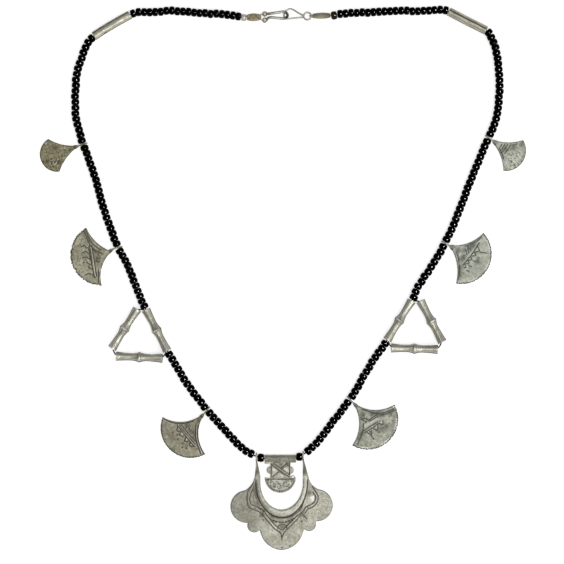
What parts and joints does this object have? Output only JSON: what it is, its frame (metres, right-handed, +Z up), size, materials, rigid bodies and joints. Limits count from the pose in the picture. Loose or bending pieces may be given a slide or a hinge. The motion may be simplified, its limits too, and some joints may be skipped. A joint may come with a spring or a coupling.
{
  "type": "bead and silver pendant necklace",
  "caption": "Folk necklace laid flat: black glass beads on thread with hammered silver fans, bamboo-shaped tube triangles, a lobed main pendant and a hook clasp.",
  "frame": {"origin": "middle of the laid necklace's outline, on the surface that it lies on", "axes": "+Z up from the surface, +Y from the pendants to the clasp"},
  "size_m": [0.2436, 0.2726, 0.0054],
  "materials": {
    "old_silver": "worn, darkened in the recesses",
    "black_glass": "glossy",
    "brown_glass": "glossy",
    "thread": "waxed thread",
    "black_thread": "waxed thread"
  },
  "bodies": {
    "root": {"cap_ring_left": "old_silver", "clasp_hook": "old_silver", "clasp_eye": "old_silver", "spacer_tube_left": "old_silver", "spacer_tube_right": "old_silver", "fan_left_1": "old_silver", "fan_left_2": "old_silver", "fan_left_3": "old_silver", "fan_right_1": "old_silver", "fan_right_2": "old_silver", "fan_right_3": "old_silver", "bamboo_tube_left_strand": "old_silver", "bamboo_tube_left_outer": "old_silver", "bamboo_tube_left_bottom": "old_silver", "bamboo_tube_right_strand": "old_silver", "bamboo_tube_right_outer": "old_silver", "bamboo_tube_right_bottom": "old_silver", "main_pendant": "old_silver", "centre_pendant": "old_silver", "beads_left_1": "black_glass", "beads_left_2": "black_glass", "beads_left_3": "black_glass", "beads_left_4": "black_glass", "beads_left_5": "black_glass", "beads_left_6": "black_glass", "beads_right_1": "black_glass", "beads_right_2": "black_glass", "beads_right_3": "black_glass", "beads_right_4": "black_glass", "beads_right_5": "black_glass", "beads_right_6": "black_glass", "bead_centre_left": "black_glass", "bead_centre_right": "black_glass", "bead_end_right": "brown_glass", "knot_left": "thread", "knot_right": "thread", "triangle_thread_left": "black_thread", "triangle_thread_right": "black_thread"}
  },
  "joints": []
}
